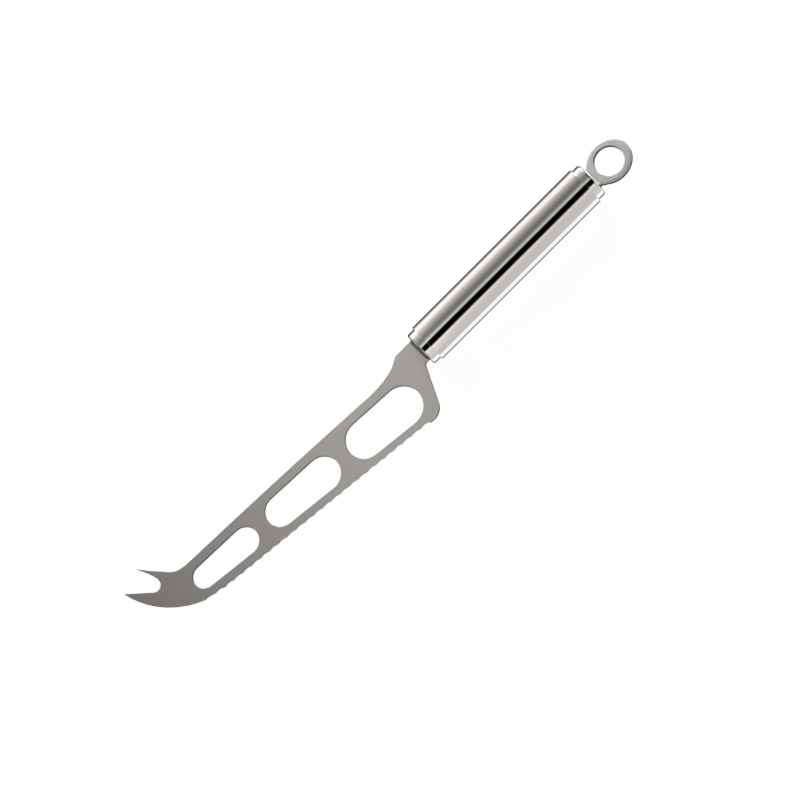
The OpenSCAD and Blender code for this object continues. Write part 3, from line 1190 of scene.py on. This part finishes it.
@dataclass
class HangingRing:
    """The flat ring with its round hanging hole, neck and shank."""

    face_x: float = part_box("rear_cap")[1].x
    end_x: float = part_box("hanging_ring")[1].x
    half_width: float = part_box("hanging_ring")[1].y
    thickness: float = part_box("hanging_ring")[1].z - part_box("hanging_ring")[0].z
    shank_x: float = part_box("hanging_ring")[0].x
    hole_r: float = 6.9 * MM
    neck_w: float = 10.6 * MM
    neck_l: float = 1.2 * MM
    shank_w: float = 9 * MM
    pin_place: float = 11 * MM
    leave_share: float = 0.76
    rim_depths: tuple[float, float] = (0.35 * MM, 0.1 * MM)
    rim_steps: int = 6
    outer_rim_w: float = 1.4 * MM
    hole_rim_w: float = 0.15 * MM

    @property
    def hole_reach(self) -> float:
        """Returns the distance from the hole's axis within which a wall is the hole's."""
        return self.hole_r + self.outer_rim_w / 2

    def rim_width(self, place: Vector) -> Vector:
        """Finds how wide the rim is rounded: widely outside, hardly at the holes and on the shank.

        Args:
            place: A place of the rim.

        Returns:
            The width along X and along Y, with none along X where the neck meets the cap.
        """
        if place.xy.length < self.hole_reach or place.x < self.face_x - SAME:
            return Vector((self.hole_rim_w, self.hole_rim_w, 0))
        along = 0.0 if place.x < self.face_x + SAME else self.outer_rim_w
        return Vector((along, self.outer_rim_w, 0))

    def build(self) -> Piece:
        """Cuts the ring and rounds its rims.

        Returns:
            The finished ring.
        """
        leave = math.pi - math.asin(self.leave_share)
        neck_end = self.face_x + self.neck_l
        half_neck, half_shank = self.neck_w / 2, self.shank_w / 2
        centre = Vector((0, 0))
        outer = joined([
            *oval(centre, Vector((self.end_x, self.half_width)), -leave, leave, parts=6),
            line((neck_end, half_neck), (self.face_x, half_neck)),
            line((self.face_x, half_shank), (self.shank_x, half_shank)),
            line((self.shank_x, -half_shank), (self.face_x, -half_shank)),
            line((self.face_x, -half_neck), (neck_end, -half_neck)),
        ])
        hole = oval(centre, Vector((self.hole_r, self.hole_r)), 0, 2 * math.pi, parts=6)
        pin = Vector((self.face_x - self.pin_place, 0))
        pin_hole = oval(pin, Vector((PIN_HOLE_R, PIN_HOLE_R)), 0, 2 * math.pi, parts=4)
        low = -self.thickness / 2 + self.rim_depths[1]
        rise = Vector((0, 0, self.thickness - sum(self.rim_depths)))
        ring = flat_blank("ring_tumbled", [outer, hole, pin_hole], low, rise, OUTLINE_STEPS)
        round_rims(ring, self.rim_depths, self.rim_width, self.rim_steps)
        finish_sheet(ring)
        return ring


# The studio


def hide_lamp(lamp: Piece) -> None:
    """Makes a glowing piece part of the stage that the camera doesn't see.

    Args:
        lamp: The piece.
    """
    lamp.visible_camera = False
    lamp.visible_shadow = False


def brightness(tree: Tree, place: Socket, stops: Pairs) -> Socket:
    """Turns a place into the brightness that a row of lamps or cards has there.

    Args:
        tree: The node tree.
        place: Socket with the place.
        stops: Places from low to high, each with its brightness.

    Returns:
        Socket with the brightness.
    """
    low, high = stops[0][0], stops[-1][0]
    share = add_node(tree, "MapRange", {"Value": place, "From Min": low, "From Max": high}).outputs["Result"]
    ramp = add_node(tree, "ValToRGB", {"Fac": share})
    most = max(value for _, value in stops)
    set_stops(ramp, [((at - low) / (high - low), dimmed((1, 1, 1), value / most)) for at, value in stops])
    return add_node(tree, "Math", {0: ramp.outputs["Color"], 1: most}, operation="MULTIPLY").outputs[0]


@dataclass
class Studio:
    """Camera, floor, light tent and end card.

    The tent is a half tunnel along the handle. Angles are measured about the X axis from
    straight up, positive towards the blade's back.
    """

    frame_width: float = 349.3 * MM
    aim: Vector = field(default_factory=lambda: Vector((-138.5 * MM, -9.7 * MM, 0)))
    camera_tilt: float = math.radians(-20)
    handle_turn: float = math.radians(44.95)
    lens: float = 250.0
    sensor: float = 36.0
    clip: tuple[float, float] = (0.1, 100.0)
    floor_size: float = 12.0
    paper_colour: str = "#B4B4B4"
    # Glow of the paper where the camera sees it, beside the light that falls on it
    paper_glow: float = 0.862
    # Place across the handle and brightness of the floor as the knife mirrors it, with a painted shadow: the
    # dark stretch under the knife stands in for its shade, seen only in reflections
    card: Pairs = (
        (-60 * MM, 0.66), (-33 * MM, 0.66), (-22 * MM, 1.2), (-13 * MM, 1.2), (-11 * MM, 0.05),
        (26 * MM, 0.05), (36 * MM, 0.22), (65 * MM, 0.75), (110 * MM, 1.2),
    )
    tent_r: float = 0.6
    tent_sides: int = 96
    # Angle in degrees and brightness of the tent's panels, from the edge's side to the back's
    panels: Pairs = (
        (-90, 0.67), (-72, 0.67), (-61, 0.74), (-56, 0.86), (-51, 0.86), (-46, 0.3), (-44, 0.0),
        (-16.5, 0.0), (-12, 0.6), (-8, 0.76), (-3, 0.44), (3, 0.27), (9, 0.21), (14, 0.185), (20, 0.2),
        (25, 0.245), (31, 0.3), (37, 0.37), (43, 0.455), (49, 0.53), (56, 0.6), (63, 0.76), (70, 1.0),
        (78, 1.16), (90, 1.2),
    )
    # Place along the handle and share of the brightness there, from one end of the tent to the other
    fade: Pairs = (
        (-1.6, 0.05), (-0.5, 0.05), (-0.4, 0.07), (-0.33, 0.14), (-0.25, 0.75), (-0.19, 1.75), (-0.16, 2.8),
        (-0.128, 3.3), (-0.12, 1.0), (-0.06, 1.0), (0.05, 0.95), (0.075, 0.15), (0.3, 0.15),
    )
    # The same two for the panels past the ring, which light it from the back's side
    rear_panels: Pairs = (
        (-90, 0.55), (-50, 0.55), (-45, 0.0), (19, 0.0), (31, 0.25), (43, 0.35), (56, 0.85), (64, 9.6),
        (90, 10.7),
    )
    rear_fade: Pairs = ((-1.6, 0.0), (0.05, 0.0), (0.075, 1.0), (0.3, 1.0))
    tent_colour: str = "#FFFDFA"
    # Brightness of the tent's plain far end, and where the panels give way to it
    far_end: float = 0.65
    far_x: tuple[float, float] = (-0.8, -0.55)
    # The low glowing card past the ring, which faces it, for the edges that face that way
    end_card_place: tuple[float, float, float] = (0.36, 0, 0.0115)
    end_card_size: tuple[float, float] = (0.6, 0.042)
    end_card_glow: float = 4.5
    # Brightness of the background for light and reflections, and where the camera sees it
    world: tuple[float, float] = (0.02, 1.0)

    def build_camera(self) -> None:
        """Sets the camera at the photograph's angle, far off with a long lens."""
        distance = self.frame_width * self.lens / self.sensor
        bpy.ops.object.select_all(action="DESELECT")
        bpy.ops.object.camera_add()
        camera = bpy.context.object
        camera.data.lens = self.lens
        camera.data.sensor_width = self.sensor
        camera.data.clip_start, camera.data.clip_end = self.clip
        camera.matrix_world = (
            Matrix.Translation(self.aim) @ Matrix.Rotation(-self.camera_tilt, 4, "X")
            @ Matrix.Rotation(-self.handle_turn, 4, "Z") @ Matrix.Translation((0, 0, distance))
        )
        bpy.context.scene.camera = camera
        log.info("camera: %.2f m away", distance)

    def build_floor(self) -> None:
        """Lays the floor under the tube: white where it is seen, and it keeps the knife's shadow."""
        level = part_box("handle_tube")[0].z
        floor = add_mesh(
            "floor", bpy.ops.mesh.primitive_plane_add, size=self.floor_size, location=(self.aim.x, 0, level),
        )
        material = bpy.data.materials.new("white paper floor")
        tree = empty_tree(material)
        path = add_node(tree, "LightPath")
        place = add_node(tree, "TexCoord").outputs["Object"]
        across = add_node(tree, "SeparateXYZ", {"Vector": place}).outputs["Y"]
        white = linear("#FFFFFF")
        # In reflections the floor shows this painted shadow under the knife instead of its own light
        mirrored = add_node(
            tree, "Emission", {"Color": white, "Strength": brightness(tree, across, self.card)},
        ).outputs[0]
        shown = add_node(
            tree, "Math", {0: path.outputs["Is Camera Ray"], 1: self.paper_glow}, operation="MULTIPLY",
        ).outputs[0]
        glow = add_node(tree, "Emission", {"Color": white, "Strength": shown}).outputs[0]
        paper = add_node(tree, "BsdfDiffuse", {"Color": linear(self.paper_colour)}).outputs[0]
        lit = add_node(tree, "AddShader", {0: glow, 1: paper}).outputs[0]
        both = add_node(tree, "MixShader", {0: path.outputs["Is Glossy Ray"], 1: lit, 2: mirrored})
        add_node(tree, "OutputMaterial", {"Surface": both.outputs[0]})
        floor.data.materials.append(material)
        log.info("floor laid")

    def build_tent(self) -> None:
        """Hangs the light tent, which only the knife's reflections and the floor's light see."""
        low_x, high_x = self.fade[0][0], self.fade[-1][0]
        tent = add_mesh(
            "light_tent", bpy.ops.mesh.primitive_circle_add, vertices=self.tent_sides,
            radius=self.tent_r, fill_type="NOTHING", location=(low_x, 0, 0), rotation=(0, QUARTER, 0),
        )
        edit_mode(tent, "EDGE", "SELECT")
        extrude(Vector((high_x - low_x, 0, 0)))
        bpy.ops.mesh.select_all(action="SELECT")
        bpy.ops.mesh.bisect(plane_co=(0, 0, 0), plane_no=(0, 0, 1), clear_inner=True)
        object_mode()
        material = bpy.data.materials.new("light tent cloth")
        tree = empty_tree(material)
        place = add_node(tree, "TexCoord").outputs["Object"]
        split = add_node(tree, "SeparateXYZ", {"Vector": place}).outputs
        angle = add_node(tree, "Math", {0: split["Y"], 1: split["Z"]}, operation="ARCTAN2").outputs[0]
        rows = []
        for panels, fade in ((self.panels, self.fade), (self.rear_panels, self.rear_fade)):
            around = brightness(tree, angle, tuple((math.radians(at), value) for at, value in panels))
            along = brightness(tree, split["X"], fade)
            rows.append(add_node(tree, "Math", {0: around, 1: along}, operation="MULTIPLY").outputs[0])
        lit = add_node(tree, "Math", {0: rows[0], 1: rows[1]}, operation="ADD").outputs[0]
        far, near = self.far_x
        nearness = add_node(tree, "MapRange", {"Value": split["X"], "From Min": far, "From Max": near})
        strength = add_node(
            tree, "MapRange", {"Value": nearness.outputs["Result"], "To Min": self.far_end, "To Max": lit},
        ).outputs["Result"]
        cloth = add_node(tree, "Emission", {"Color": linear(self.tent_colour), "Strength": strength})
        add_node(tree, "OutputMaterial", {"Surface": cloth.outputs[0]})
        tent.data.materials.append(material)
        hide_lamp(tent)
        log.info("light tent hung")

    def build_card(self) -> None:
        """Stands the end card up past the ring and turns it to the knife."""
        facing = Vector((-1, 0, 0)).to_track_quat("Z", "Y")
        card = add_mesh(
            "end card", bpy.ops.mesh.primitive_plane_add, size=1, location=self.end_card_place,
            rotation=facing.to_euler(), scale=(*self.end_card_size, 1),
        )
        material = bpy.data.materials.new("end card cloth")
        tree = empty_tree(material)
        glow = add_node(tree, "Emission", {"Color": linear("#FFFFFF"), "Strength": self.end_card_glow})
        add_node(tree, "OutputMaterial", {"Surface": glow.outputs[0]})
        card.data.materials.append(material)
        hide_lamp(card)
        log.info("end card set up")

    def build_world(self) -> None:
        """Makes the background white where it is seen, and dark for light and reflections."""
        world = bpy.data.worlds.new("studio")
        bpy.context.scene.world = world
        tree = empty_tree(world)
        seen = add_node(tree, "LightPath").outputs["Is Camera Ray"]
        low, high = self.world
        strength = add_node(tree, "MapRange", {"Value": seen, "To Min": low, "To Max": high})
        backdrop = add_node(
            tree, "Background", {"Color": linear("#FFFFFF"), "Strength": strength.outputs["Result"]},
        )
        add_node(tree, "OutputWorld", {"Surface": backdrop.outputs[0]})
        log.info("background: white where it is seen")

    def build(self) -> None:
        """Makes the whole studio."""
        bpy.context.scene.view_settings.view_transform = "Standard"
        self.build_camera()
        self.build_floor()
        self.build_tent()
        self.build_card()
        self.build_world()


def dress_hidden_nodes() -> None:
    """Gives the pins and the cement inside the handle their materials."""
    pin_steel = PIN_FINISH.build()
    cement = CementFinish().build()
    finishes = {
        "tang_pin": pin_steel, "shank_pin": pin_steel, "front_bond_ring": cement, "rear_bond_ring": cement,
    }
    for name, material in finishes.items():
        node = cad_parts[name]
        node.data.materials.clear()
        node.data.materials.append(material)
        log.info("%s: packed node with %s", name, material.name)


def main() -> None:
    """Builds the knife's pieces in order, then the studio."""
    logging.basicConfig(level=logging.INFO, format="%(name)s: %(message)s")
    # The sheets' walls take painted shade: a darker finish that stands in for the shade they mirror
    wall_shade_material = WALL_SHADE_FINISH.build()
    blade = Blade()
    blade_piece = blade.build()
    hand_over(blade_piece, Slot.BLADE, BLADE_FINISH.build(), "blade")
    paint_wall_shade(blade_piece, wall_shade_material)
    handle = Handle()
    hand_over(handle.tube(), Slot.TUBE, TUBE_FINISH.build(), "handle_tube")
    cap_material = CAP_FINISH.build()
    front_cap = handle.cap(
        "front_cap_buffed", handle.front_x, handle.front_end_x, handle.tube_front_x - handle.front_x,
        handle.front_flat, handle.front_pin,
    )
    hand_over(front_cap, Slot.CAP, cap_material, "front_cap")
    rear_cap = handle.cap(
        "rear_cap_buffed", handle.rear_x, handle.rear_end_x, handle.rear_x - handle.tube_rear_x,
        handle.rear_flat, handle.rear_pin,
    )
    hand_over(rear_cap, Slot.CAP, cap_material, "rear_cap")
    ring = HangingRing()
    front_bead = WeldBead(
        "front_weld_brushed", handle.front_x, outward=-1, neck=Vector((blade.neck_w, blade.thickness)),
        leg=1.2 * MM, side_leg=0.4 * MM,
    )
    # The front bead's weld metal is painted dark grey as shade for the crevice at the blade's neck
    hand_over(front_bead.build(), Slot.WELD, SHADED_WELD_FINISH.build(), "front_weld_bead")
    rear_bead = WeldBead(
        "rear_weld_brushed", handle.rear_x, outward=1, neck=Vector((ring.neck_w, ring.thickness)),
        leg=0.85 * MM, side_leg=1.2 * MM,
    )
    hand_over(rear_bead.build(), Slot.WELD, WELD_FINISH.build(), "rear_weld_bead")
    ring_piece = ring.build()
    hand_over(ring_piece, Slot.RING, RING_FINISH.build(), "hanging_ring")
    # The ring's walls take painted shade too: the hole's like the blade's, the outer ones nearly black
    paint_wall_shade(ring_piece, wall_shade_material, farthest=ring.hole_reach)
    paint_wall_shade(ring_piece, RING_WALL_SHADE_FINISH.build(), nearest=ring.hole_reach)
    dress_hidden_nodes()
    Studio().build()


if __name__ == "__main__":
    main()
